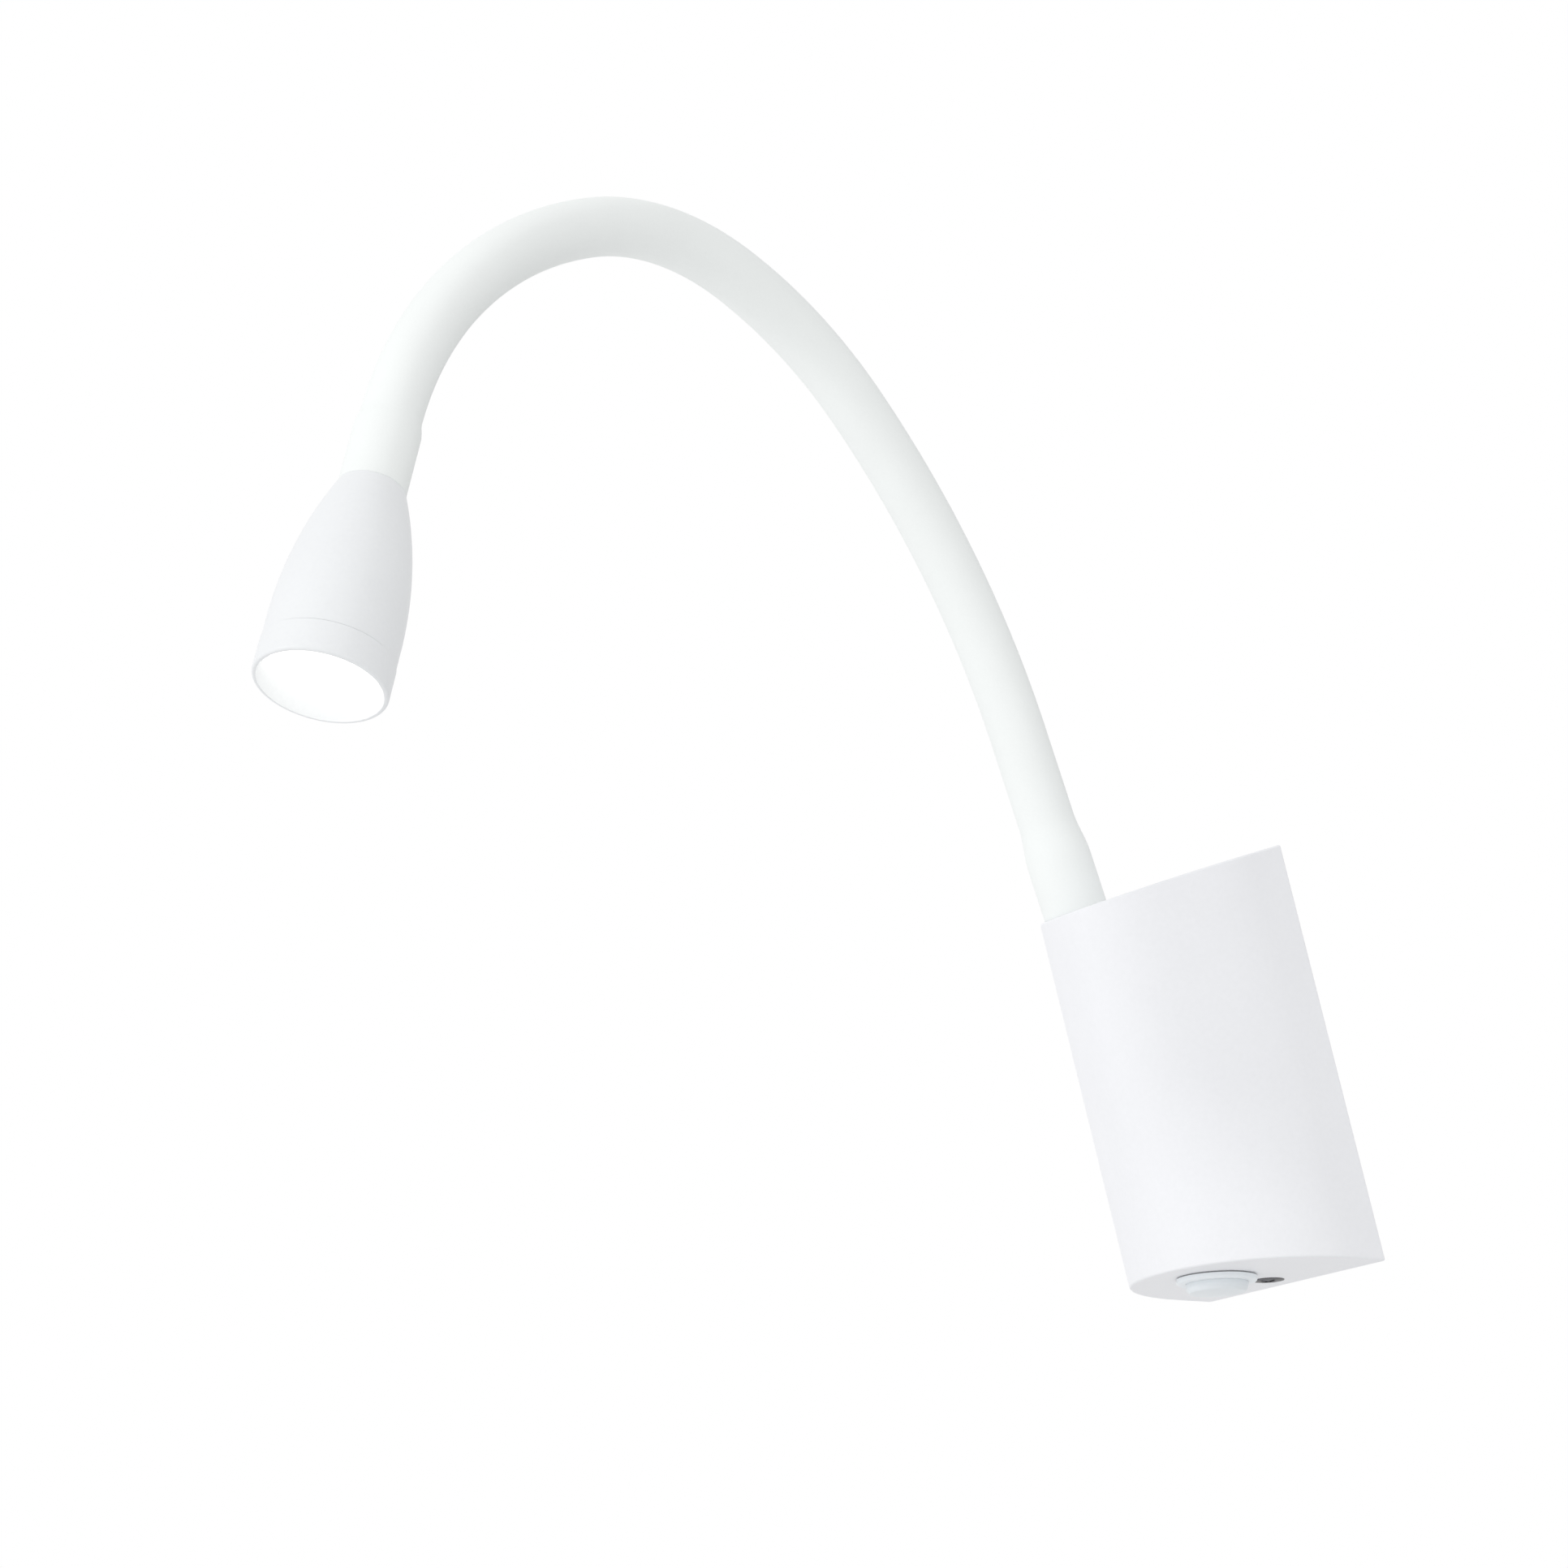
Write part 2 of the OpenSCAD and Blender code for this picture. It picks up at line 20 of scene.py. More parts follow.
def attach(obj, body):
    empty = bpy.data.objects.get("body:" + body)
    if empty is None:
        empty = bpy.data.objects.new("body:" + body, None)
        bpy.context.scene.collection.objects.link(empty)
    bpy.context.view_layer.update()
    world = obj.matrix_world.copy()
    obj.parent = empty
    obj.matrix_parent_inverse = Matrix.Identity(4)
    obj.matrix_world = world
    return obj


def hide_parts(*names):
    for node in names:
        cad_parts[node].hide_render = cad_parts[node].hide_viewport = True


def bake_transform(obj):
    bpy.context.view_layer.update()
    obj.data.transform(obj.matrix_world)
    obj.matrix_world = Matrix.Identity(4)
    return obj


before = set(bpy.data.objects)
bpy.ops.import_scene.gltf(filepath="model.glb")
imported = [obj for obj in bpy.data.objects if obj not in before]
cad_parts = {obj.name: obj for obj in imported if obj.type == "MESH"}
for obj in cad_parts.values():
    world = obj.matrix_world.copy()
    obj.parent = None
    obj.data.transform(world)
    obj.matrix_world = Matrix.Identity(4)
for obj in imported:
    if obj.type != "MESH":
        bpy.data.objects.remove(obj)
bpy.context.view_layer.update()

Color = Tuple[float, float, float]
Point = Tuple[float, float, float]
Socket = bpy.types.NodeSocket
Inputs = Dict[Union[str, int], object]

MM = 0.001
QUARTER = 0.5 * math.pi
LOG = logging.getLogger("lamp")

# Bodies along the arm, from the wall to the light.
ARM_BODIES = ("base", "link_1", "link_2", "link_3", "link_4", "link_5", "head")

# Values between which most of a noise lies.
NOISE_LOW, NOISE_HIGH = 0.3, 0.7
# Squeeze of the coordinates that draws a noise out into streaks.
STREAK = (1.0, 1.0, 0.04)
# Shares of the fine relief and of the slow drift in a finish's tone.
GRAIN_SHARE, DRIFT_SHARE = 0.35, 0.65
DRIFT_LAYERS = 3.0
# How far a finish's roughness strays to both sides.
GLOSS_SPREAD = 0.05
RELIEF_STRENGTH = 0.5

# Smallest bend, in radians, that is not taken as straight.
STRAIGHT = 1e-4
# Corners closer than this are one corner.
SAME_SPOT = 1e-6
# Faces that turn by less than this, in degrees, are one flat face.
FLAT_ANGLE = 0.3
# Weight of large faces over small ones in the shading of flat faces.
FACE_WEIGHT = 100

# Focal length and width of the fitted view, both in pixels.
FOCAL_PIXELS, VIEW_PIXELS = 5611.38557, 1932.0
SENSOR = 36.0
WHITE = (1.0, 1.0, 1.0, 1.0)


class Grain(Enum):
    """Kinds of fine relief that a finish can have."""

    PEEL = "soft dimples of sprayed and baked paint"
    MATT = "fine even speckle of a matt moulding"
    GLOSSY = "faint waviness of a glossy moulding"
    BRUSHED = "long thin scratches"
    TURNED = "rings left by a lathe"


# Number of finer layers in each kind of relief.
GRAIN_LAYERS = {
    Grain.PEEL: 1.0,
    Grain.MATT: 6.0,
    Grain.GLOSSY: 1.0,
    Grain.BRUSHED: 4.0,
    Grain.TURNED: 3.0,
}


class Nodes:
    """Small helper that adds and joins the nodes of one tree."""

    def __init__(self, tree: bpy.types.NodeTree) -> None:
        """Empties the tree.

        Args:
            tree: node tree of a material or of the world.
        """
        self.tree = tree
        tree.nodes.clear()

    def add(
        self, kind: str, inputs: Optional[Inputs] = None, **settings: object
    ) -> bpy.types.Node:
        """Adds a node, sets its properties and fills its inputs.

        Args:
            kind: Blender's name of the node type.
            inputs: for each input, the socket that feeds it or a constant.
            **settings: properties to set on the node.

        Returns:
            The new node.
        """
        node = self.tree.nodes.new(kind)
        for key, value in settings.items():
            setattr(node, key, value)
        for key, value in (inputs or {}).items():
            if isinstance(value, Socket):
                self.tree.links.new(value, node.inputs[key])
            else:
                node.inputs[key].default_value = value
        return node

    def number(self, operation: str, *values: object) -> Socket:
        """Adds an operation on plain numbers.

        Args:
            operation: Blender's name of the operation.
            *values: sockets or constants that it takes, in order.

        Returns:
            The result.
        """
        inputs = dict(enumerate(values))
        return self.add("ShaderNodeMath", inputs, operation=operation).outputs["Value"]

    def vector(self, operation: str, *values: object) -> bpy.types.Node:
        """Adds an operation on vectors.

        Args:
            operation: Blender's name of the operation.
            *values: sockets or constants that it takes, in order.

        Returns:
            The node, which gives a vector or a value.
        """
        inputs = dict(enumerate(values))
        return self.add("ShaderNodeVectorMath", inputs, operation=operation)


class Shader(Nodes):
    """The nodes of one material."""

    def __init__(self, name: str) -> None:
        """Makes an empty node material.

        Args:
            name: name of the material.
        """
        self.material = bpy.data.materials.new(name)
        self.material.use_nodes = True
        super().__init__(self.material.node_tree)

    def place(self) -> Socket:
        """Adds the piece's own coordinates.

        Returns:
            The coordinates, in metres.
        """
        return self.add("ShaderNodeTexCoord").outputs["Object"]

    def noise(self, place: Socket, cell: float, layers: float) -> Socket:
        """Adds a noise of a given feature size.

        Args:
            place: coordinates in metres.
            cell: rough size of a feature, in metres.
            layers: number of finer layers.

        Returns:
            The noise's value.
        """
        inputs = {"Vector": place, "Scale": 1.0 / cell, "Detail": layers}
        return self.add("ShaderNodeTexNoise", inputs).outputs["Fac"]

    def spread(self, value: Socket, low: float, high: float) -> Socket:
        """Maps the middle of a noise to a range.

        Args:
            value: noise to map.
            low: result at the low end of the noise.
            high: result at its high end.

        Returns:
            The mapped value.
        """
        inputs = {
            "Value": value,
            "From Min": NOISE_LOW,
            "From Max": NOISE_HIGH,
            "To Min": low,
            "To Max": high,
        }
        return self.add("ShaderNodeMapRange", inputs).outputs["Result"]

    def tint(self, value: Socket, first: Color, last: Color) -> Socket:
        """Colours a value between two tones.

        Args:
            value: value from 0 to 1.
            first: tone at 0.
            last: tone at 1.

        Returns:
            The colour.
        """
        ramp = self.add("ShaderNodeValToRGB", {"Fac": value})
        for element, tone in zip(ramp.color_ramp.elements, (first, last)):
            element.color = (*tone, 1.0)
        return ramp.outputs["Color"]

    def relief(self, height: Socket, depth: float, strength: float) -> Socket:
        """Turns a height into a shading normal.

        Args:
            height: height of the relief, from 0 to 1.
            depth: depth of the relief in metres.
            strength: share of the relief that shows.

        Returns:
            The normal.
        """
        inputs = {"Height": height, "Distance": depth, "Strength": strength}
        return self.add("ShaderNodeBump", inputs).outputs["Normal"]

    def close(self, surface: Socket) -> bpy.types.Material:
        """Ends the material with its surface.

        Args:
            surface: shader of the surface.

        Returns:
            The finished material.
        """
        self.add("ShaderNodeOutputMaterial", {"Surface": surface})
        return self.material


@dataclass(frozen=True)
class Finish:
    """A procedural surface: its tone, its gloss and its fine relief.

    Lengths are in metres, and tones are linear. A patch is a second tone that
    shows through in places, and drift is the size of those places. Axis and
    centre are those of the lathe, for a turned finish.
    """

    name: str
    tone: Color
    roughness: float
    grain: Grain
    cell: float
    depth: float
    shift: float = 0.02
    metallic: float = 0.0
    patch: Optional[Color] = None
    drift: float = 30.0 * MM
    axis: Point = (0.0, 0.0, 1.0)
    centre: Point = (0.0, 0.0, 0.0)

    def course(self, shader: Shader) -> Socket:
        """Builds the coordinates that the relief follows.

        Args:
            shader: material that is being built.

        Returns:
            The coordinates: streaked if brushed, along the axis if turned.
        """
        place = shader.place()
        if self.grain is Grain.BRUSHED:
            inputs = {"Vector": place, "Scale": STREAK}
            return shader.add("ShaderNodeMapping", inputs).outputs["Vector"]
        if self.grain is Grain.TURNED:
            offset = shader.vector("SUBTRACT", place, self.centre).outputs["Vector"]
            along = shader.vector("DOT_PRODUCT", offset, self.axis).outputs["Value"]
            return shader.add("ShaderNodeCombineXYZ", {"X": along}).outputs["Vector"]
        return place

    def material(self) -> bpy.types.Material:
        """Builds the material.

        Returns:
            The finished material.
        """
        shader = Shader(self.name)
        drift = shader.noise(shader.place(), self.drift, DRIFT_LAYERS)
        layers = GRAIN_LAYERS[self.grain]
        height = shader.noise(self.course(shader), self.cell, layers)
        slow = shader.number("MULTIPLY", drift, DRIFT_SHARE)
        mixed = shader.number("MULTIPLY_ADD", height, GRAIN_SHARE, slow)
        over = self.patch or self.tone
        dark = tuple(channel * (1.0 - self.shift) for channel in self.tone)
        light = tuple(min(1.0, channel * (1.0 + self.shift)) for channel in over)
        low, high = self.roughness - GLOSS_SPREAD, self.roughness + GLOSS_SPREAD
        inputs = {
            "Base Color": shader.tint(shader.spread(mixed, 0.0, 1.0), dark, light),
            "Metallic": self.metallic,
            "Roughness": shader.spread(height, low, high),
            "Normal": shader.relief(height, self.depth, RELIEF_STRENGTH),
        }
        return shader.close(
            shader.add("ShaderNodeBsdfPrincipled", inputs).outputs["BSDF"]
        )


@dataclass(frozen=True)
class Glow:
    """A lit optic: hot in the middle, warmer towards its edge."""

    name: str
    middle: Color
    edge: Color
    strength: float
    centre: Point
    axis: Point
    radius: float
    body: Color = (0.1, 0.1, 0.1)
    roughness: float = 0.12
    index: float = 1.49
    facet: float = 1.6 * MM
    facet_depth: float = 0.15 * MM
    facet_strength: float = 0.6

    def material(self) -> bpy.types.Material:
        """Builds the material.

        Returns:
            The finished material.
        """
        shader = Shader(self.name)
        place = shader.place()
        offset = shader.vector("SUBTRACT", place, self.centre).outputs["Vector"]
        cross = shader.vector("CROSS_PRODUCT", offset, self.axis).outputs["Vector"]
        length = shader.vector("LENGTH", cross).outputs["Value"]
        share = shader.number("DIVIDE", length, self.radius)
        cells = {"Vector": place, "Scale": 1.0 / self.facet}
        height = shader.add("ShaderNodeTexVoronoi", cells).outputs["Distance"]
        inputs = {
            "Base Color": (*self.body, 1.0),
            "Roughness": self.roughness,
            "IOR": self.index,
            "Emission Strength": self.strength,
            "Emission Color": shader.tint(share, self.middle, self.edge),
            "Normal": shader.relief(height, self.facet_depth, self.facet_strength),
        }
        return shader.close(
            shader.add("ShaderNodeBsdfPrincipled", inputs).outputs["BSDF"]
        )


@dataclass(frozen=True)
class FadingFloor:
    """A pale matt floor that fades out around the object."""

    name: str
    tone: Color
    fade_start: float
    fade_end: float
    roughness: float = 0.8
    cell: float = 3.0 * MM
    layers: float = 6.0
    dip: float = 0.985

    def material(self) -> bpy.types.Material:
        """Builds the material.

        Returns:
            The finished material.
        """
        shader = Shader(self.name)
        place = shader.place()
        speckle = shader.noise(place, self.cell, self.layers)
        dark = tuple(self.dip * channel for channel in self.tone)
        inputs = {
            "Base Color": shader.tint(
                shader.spread(speckle, 0.0, 1.0), dark, self.tone
            ),
            "Roughness": self.roughness,
        }
        surface = shader.add("ShaderNodeBsdfPrincipled", inputs)
        fade = shader.add(
            "ShaderNodeMapRange",
            {
                "Value": shader.vector("LENGTH", place).outputs["Value"],
                "From Min": self.fade_start,
                "From Max": self.fade_end,
            },
            interpolation_type="SMOOTHSTEP",
        )
        clear = shader.add("ShaderNodeBsdfTransparent")
        layers = {
            "Fac": fade.outputs["Result"],
            1: surface.outputs["BSDF"],
            2: clear.outputs["BSDF"],
        }
        return shader.close(shader.add("ShaderNodeMixShader", layers).outputs["Shader"])


Coating = Union[Finish, Glow, FadingFloor]

PAINT = Finish(
    "white_powder_coat", (0.871, 0.879, 0.905), 0.42, Grain.PEEL, 1.1 * MM, 0.03 * MM
)
# The housing's white powder coat again, made darker on the head as painted shade, since
# the head catches more of the key light.
SHADED_HEAD_PAINT = Finish(
    "white_coat_painted_shade_head", (0.828, 0.844, 0.858), 0.4, Grain.PEEL, 0.9 * MM, 0.02 * MM
)
SLEEVE = Finish(
    "white_silicone", (0.885, 0.91, 0.902), 0.58, Grain.MATT, 0.5 * MM, 0.02 * MM
)
MOULDING = Finish(
    "white_moulding", (0.86, 0.90, 0.93), 0.33, Grain.GLOSSY, 1.2 * MM, 0.004 * MM
)
BUTTON = Finish(
    "pale_button", (0.79, 0.832, 0.862), 0.34, Grain.GLOSSY, 1.2 * MM, 0.003 * MM
)
PLASTIC = Finish(
    "matt_pale_plastic", (0.72, 0.72, 0.67), 0.55, Grain.MATT, 0.6 * MM, 0.02 * MM
)
RUBBER = Finish(
    "black_rubber", (0.025, 0.025, 0.028), 0.7, Grain.MATT, 0.4 * MM, 0.02 * MM
)
GASKET = Finish(
    "grey_rubber", (0.26, 0.265, 0.275), 0.65, Grain.MATT, 0.4 * MM, 0.02 * MM
)
BOARD = Finish(
    "white_solder_mask", (0.78, 0.80, 0.76), 0.34, Grain.MATT, 0.3 * MM, 0.01 * MM
)
STEEL = Finish(
    "zinc_plated_steel",
    (0.62, 0.63, 0.65),
    0.34,
    Grain.BRUSHED,
    0.35 * MM,
    0.02 * MM,
    shift=0.12,
    metallic=1.0,
)
SCREW = Finish(
    "dark_plated_screw",
    (0.07, 0.06, 0.038),
    0.36,
    Grain.BRUSHED,
    0.3 * MM,
    0.02 * MM,
    shift=0.1,
    metallic=1.0,
    patch=(0.065, 0.07, 0.1),
    drift=2.5 * MM,
)
BRASS = Finish(
    "turned_brass",
    (0.68, 0.50, 0.22),
    0.34,
    Grain.BRUSHED,
    0.3 * MM,
    0.01 * MM,
    shift=0.1,
    metallic=1.0,
)
CORE = Finish(
    "wound_steel_core",
    (0.55, 0.56, 0.58),
    0.4,
    Grain.TURNED,
    1.2 * MM,
    0.1 * MM,
    shift=0.1,
    metallic=1.0,
)


class FinishBook:
    """Keeps one material for each finish, so that it is built once."""

    def __init__(self) -> None:
        """Starts with no materials."""
        self.made: Dict[str, bpy.types.Material] = {}

    def apply(self, obj: bpy.types.Object, finish: Coating) -> None:
        """Gives a piece its finish.

        Args:
            obj: piece to dress.
            finish: finish that it gets.
        """
        if finish.name not in self.made:
            self.made[finish.name] = finish.material()
        obj.data.materials.clear()
        obj.data.materials.append(self.made[finish.name])


@dataclass
class ArmPath:
    """Centre line of the arm: a straight foot, bent links and the head's axis.

    Bends, lean and heading are in degrees, and each link has its own bend.
    """

    foot: Point = (-15.2008 * MM, -23.9911 * MM, 45.1899 * MM)
    lean: float = 5.5
    heading: float = 8.9
    link: float = 42.5 * MM
    bends: Sequence[float] = (0.0, 12.6, 12.0, 24.6, 41.4, 25.2, 26.5)
    stations: List[Matrix] = field(default_factory=list)

    def __post_init__(self) -> None:
        """Works out the frame at the start of each link and at the head."""
        at = (
            Matrix.Translation(self.foot)
            @ Matrix.Rotation(math.radians(self.lean), 4, "X")
            @ Matrix.Rotation(math.radians(self.heading - 90.0), 4, "Z")
        )
        self.stations.append(at)
        for bend in self.bends:
            at = at @ self.step(bend, self.link)
            self.stations.append(at)

    @property
    def length(self) -> float:
        """Adds up the links.

        Returns:
            The length of all the links together.
        """
        return len(self.bends) * self.link

    @staticmethod
    def step(bend: float, length: float) -> Matrix:
        """Moves along a curve in its own plane.

        Args:
            bend: angle of the curve in degrees.
            length: length along the curve.

        Returns:
            The frame at the end of the curve.
        """
        angle = math.radians(bend)
        if abs(angle) < STRAIGHT:
            return Matrix.Translation((0.0, 0.0, length))
        radius = length / angle
        shift = (radius * (1.0 - math.cos(angle)), 0.0, radius * math.sin(angle))
        return Matrix.Translation(shift) @ Matrix.Rotation(angle, 4, "Y")

    def at(self, run: float) -> Matrix:
        """Frame at a distance along the arm.

        Args:
            run: distance from the housing's top face.

        Returns:
            The frame there; past the last link it follows the head's axis.
        """
        index = min(int(run / self.link), len(self.bends))
        rest = run - index * self.link
        if index == len(self.bends):
            return self.stations[index] @ Matrix.Translation((0.0, 0.0, rest))
        bend = self.bends[index] * rest / self.link
        return self.stations[index] @ self.step(bend, rest)


def smooth(value: float, low: float, high: float) -> float:
    """Rises smoothly from 0 at low to 1 at high.

    Args:
        value: where to read the curve.
        low: start of the rise.
        high: end of the rise.

    Returns:
        A share from 0 to 1.
    """
    share = min(1.0, max(0.0, (value - low) / (high - low)))
    return share * share * (3.0 - 2.0 * share)


def mesh_piece(
    name: str, points: Sequence[Sequence[float]], faces: Sequence[Sequence[int]]
) -> bpy.types.Object:
    """Makes a smooth mesh piece.

    Args:
        name: name of the piece.
        points: corners in metres.
        faces: corner numbers of each face.

    Returns:
        The new piece, linked to the scene.
    """
    mesh = bpy.data.meshes.new(name)
    mesh.from_pydata([tuple(point) for point in points], [], faces)
    mesh.validate()
    mesh.polygons.foreach_set("use_smooth", [True] * len(mesh.polygons))
    piece = bpy.data.objects.new(name, mesh)
    bpy.context.scene.collection.objects.link(piece)
    return piece


@dataclass
class SleevedArm:
    """The soft sleeve over the flexible arm, stretched over both end fittings.

    It is laid in stretches, one for each joint, and neighbouring stretches meet halfway
    along a link.
    """

    path: ArmPath
    radius: float = 6.5 * MM
    bore: float = 4.75 * MM
    foot_radius: float = 7.45 * MM
    foot_straight: float = 12.5 * MM
    foot_end: float = 22.0 * MM
    neck_radius: float = 7.15 * MM
    neck_start: float = -0.6 * MM
    neck_rise: float = 3.2 * MM
    neck_length: float = 17.8 * MM
    lip: float = 0.35 * MM
    lip_steps: Sequence[float] = (0.04 * MM, 0.12 * MM, 0.24 * MM, 0.36 * MM)
    ring_step: float = 1.0 * MM
    sides: int = 64
    turn_half: float = 18.4 * MM

    @property
    def total(self) -> float:
        """Adds the neck to the links.

        Returns:
            The length of the sleeve.
        """
        return self.path.length + self.neck_length

    def outer(self, run: float) -> float:
        """Outer radius of the sleeve.

        Args:
            run: distance from the housing's top face.

        Returns:
            The radius there.
        """
        foot = 1.0 - smooth(run, self.foot_straight, self.foot_end)
        neck = smooth(run - self.path.length, self.neck_start, self.neck_rise)
        radius = self.radius
        radius += (self.foot_radius - self.radius) * foot
        radius += (self.neck_radius - self.radius) * neck
        nearest = min(run, self.total - run)
        share = max(0.0, self.lip - nearest) / self.lip
        return radius - self.lip * (1.0 - math.sqrt(max(0.0, 1.0 - share * share)))

    def runs(self, start: float, end: float) -> List[float]:
        """Distances of the rings between two ends.

        Args:
            start: first ring.
            end: last ring.

        Returns:
            The distances, closer together at a rounded end.
        """
        count = max(2, round((end - start) / self.ring_step))
        runs = [start + (end - start) * i / count for i in range(count + 1)]
        if start == 0.0:
            runs += self.lip_steps
        if end == self.total:
            runs += [end - step for step in self.lip_steps]
        return sorted(runs)

    def tube(self, name: str, start: float, end: float) -> bpy.types.Object:
        """Lays one closed stretch of the sleeve.

        Args:
            name: name of the piece.
            start: distance where it starts.
            end: distance where it ends.

        Returns:
            The new piece.
        """
        runs = self.runs(start, end)
        rows = [(run, self.outer(run)) for run in runs]
        rows += [(run, self.bore) for run in reversed(runs)]
        points, faces = [], []
        for row, (run, radius) in enumerate(rows):
            at = self.path.at(run)
            here, after = row * self.sides, (row + 1) % len(rows) * self.sides
            for side in range(self.sides):
                beside = (side + 1) % self.sides
                angle = math.tau * side / self.sides
                spot = (radius * math.cos(angle), radius * math.sin(angle), 0.0)
                points.append(at @ Vector(spot))
                faces.append((here + side, here + beside, after + beside, after + side))
        piece = mesh_piece(name, points, faces)
        self.sharpen(piece, [0, len(runs) - 1, len(runs), len(rows) - 1])
        return piece

    def sharpen(self, piece: bpy.types.Object, rows: Sequence[int]) -> None:
        """Keeps the shading of the end faces off the sides.

        Args:
            piece: tube to mark.
            rows: rings whose edges stay sharp.
        """
        sharp = []
        for edge in piece.data.edges:
            first, last = (corner // self.sides for corner in edge.vertices)
            sharp.append(first == last and first in rows)
        layer = piece.data.attributes.new("sharp_edge", "BOOLEAN", "EDGE")
        layer.data.foreach_set("value", sharp)

    def build(self, book: FinishBook, finish: Finish) -> None:
        """Makes the stretches of the sleeve over the links.

        Args:
            book: keeper of the materials.
            finish: finish of the sleeve.
        """
        last = len(ARM_BODIES) - 1
        for index in range(1, last + 1):
            start = 0.0 if index == 1 else (index - 0.5) * self.path.link
            end = self.total if index == last else (index + 0.5) * self.path.link
            piece = self.tube(f"sleeve_skin_{index}", start, end)
            book.apply(piece, finish)
            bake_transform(piece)
            nodes = [f"sleeve_{index - 1}"]
            nodes += ["base_collar"] if index == 1 else []
            nodes += ["sleeve_6", "head_collar"] if index == last else []
            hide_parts(*nodes)
            LOG.info("sleeve stretch %d over %s", index, ", ".join(nodes))


@dataclass(frozen=True)
class Arc:
    """One arc of the housing's section: centre, radius, angles and steps."""

    x: float
    y: float
    radius: float
    low: float
    high: float
    steps: int


@dataclass
class HousingShell:
    """The painted casting with its rounded edges, open at the back."""

    width: float = 62.0 * MM
    height: float = 95.0 * MM
    side_radius: float = 27.0 * MM
    front_radius: float = 40.5 * MM
    front_centre: float = -3.5 * MM
    top_slope: float = 5.5
    bottom_slope: float = 13.0
    wall: float = 1.8 * MM
    end: float = 2.4 * MM
    top_round: float = 0.55 * MM
    bottom_round: float = 0.5 * MM
    back_round: float = 0.7 * MM
    inner_round: float = 0.6 * MM
    steps: int = 8
    side_steps: int = 28
    front_steps: int = 10

    def outline(self, inset: float, back_round: float) -> List[Tuple[Point, Point]]:
        """Walks round the section from the right back edge to the left one.

        Args:
            inset: distance inside the casting's outer face.
            back_round: radius of the rounded back edges.

        Returns:
            Places and the directions that point out of them, both level.
        """
        side_x = self.width / 2.0 - self.side_radius
        reach = self.front_radius - self.side_radius
        side_y = self.front_centre + math.sqrt(reach * reach - side_x * side_x)
        turn = math.atan2(side_y - self.front_centre, side_x)
        half: List[Tuple[Point, Point]] = []
        flank = self.width / 2.0 - inset
        for step in range(self.steps + 1):
            angle = QUARTER * step / self.steps
            x = flank - back_round * (1.0 - math.sin(angle))
            y = -back_round * (1.0 - math.cos(angle))
            half.append(((x, y, 0.0), (1.0, 0.0, 0.0)))
        side = Arc(side_x, side_y, self.side_radius, 0.0, turn, self.side_steps)
        middle = (0.0, self.front_centre)
        front = Arc(*middle, self.front_radius, turn, QUARTER, self.front_steps)
        for arc in (side, front):
            # The front starts on the last place of the side.
            first = 1 if arc is front else 0
            radius = arc.radius - inset
            for step in range(first, arc.steps + 1):
                angle = arc.low + (arc.high - arc.low) * step / arc.steps
                out = (math.cos(angle), -math.sin(angle), 0.0)
                place = (arc.x + radius * out[0], -arc.y + radius * out[1], 0.0)
                half.append((place, out))
        mirrored = [
            ((-place[0], place[1], 0.0), (-out[0], out[1], 0.0))
            for place, out in reversed(half[:-1])
        ]
        return half + mirrored

    def rows(
        self, inset: float, end: float, rounds: Tuple[float, float, float]
    ) -> List[List[Vector]]:
        """Lays rings over the top edge, down the wall and round the bottom edge.

        Args:
            inset: distance inside the casting's outer face.
            end: distance inside its end faces.
            rounds: radii of the top, bottom and back edges.

        Returns:
            The rings, from the top face to the bottom face.
        """
        around = self.outline(inset, rounds[2])
        rings = []
        for radius, slope, sign in (
            (rounds[0], self.top_slope, 1.0),
            (rounds[1], self.bottom_slope, -1.0),
        ):
            rise = math.tan(math.radians(slope))
            level = self.height / 2.0 - end / math.cos(math.radians(slope))
            part = []
            for step in range(self.steps + 1):
                angle = QUARTER * step / self.steps
                inward = radius * (1.0 - math.sin(angle))
                drop = radius * (1.0 - math.cos(angle))
                ring = []
                for place, out in around:
                    point = Vector(place) - Vector(out) * inward
                    point.z = sign * (level + point.y * rise - drop)
                    ring.append(point)
                part.append(ring)
            rings += part if sign > 0.0 else part[::-1]
        return rings

    def build(self, book: FinishBook, finish: Finish) -> None:
        """Makes the casting and lets it stand for the plain solid.

        Args:
            book: keeper of the materials.
            finish: finish of the casting.
        """
        rounds = (self.top_round, self.bottom_round, self.back_round)
        outer = self.rows(0.0, 0.0, rounds)
        rounds = (self.inner_round, self.inner_round, 0.0)
        inner = self.rows(self.wall, self.end, rounds)
        count, rings = len(outer[0]), len(outer)
        points = [point for ring in outer + inner for point in ring]
        half = rings * count
        faces: List[Tuple[int, ...]] = []
        for ring in range(rings - 1):
            for side in range(count - 1):
                at = ring * count + side
                quad = (at, at + 1, at + count + 1, at + count)
                faces.append(quad)
                faces.append(tuple(half + corner for corner in reversed(quad)))
            for side, turn in ((0, 1), (count - 1, -1)):
                at = ring * count + side
                rim = (at, at + count, half + at + count, half + at)
                faces.append(rim[::turn])
        last = (rings - 1) * count
        for ring, turn in ((0, -1), (last, 1)):
            cap = tuple(range(ring, ring + count))
            faces.append(cap[::turn])
            faces.append(tuple(half + corner for corner in cap)[::-turn])
            rim = (ring, half + ring, half + ring + count - 1, ring + count - 1)
            faces.append(rim[::turn])
        piece = mesh_piece("housing_skin", points, faces)
        flat = piece.modifiers.new("keep_faces_flat", "WEIGHTED_NORMAL")
        flat.mode = "FACE_AREA"
        flat.weight = FACE_WEIGHT
        book.apply(piece, finish)
        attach(piece, "base")
        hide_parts("housing")
        LOG.info("housing with %d rings of %d corners", rings, count)


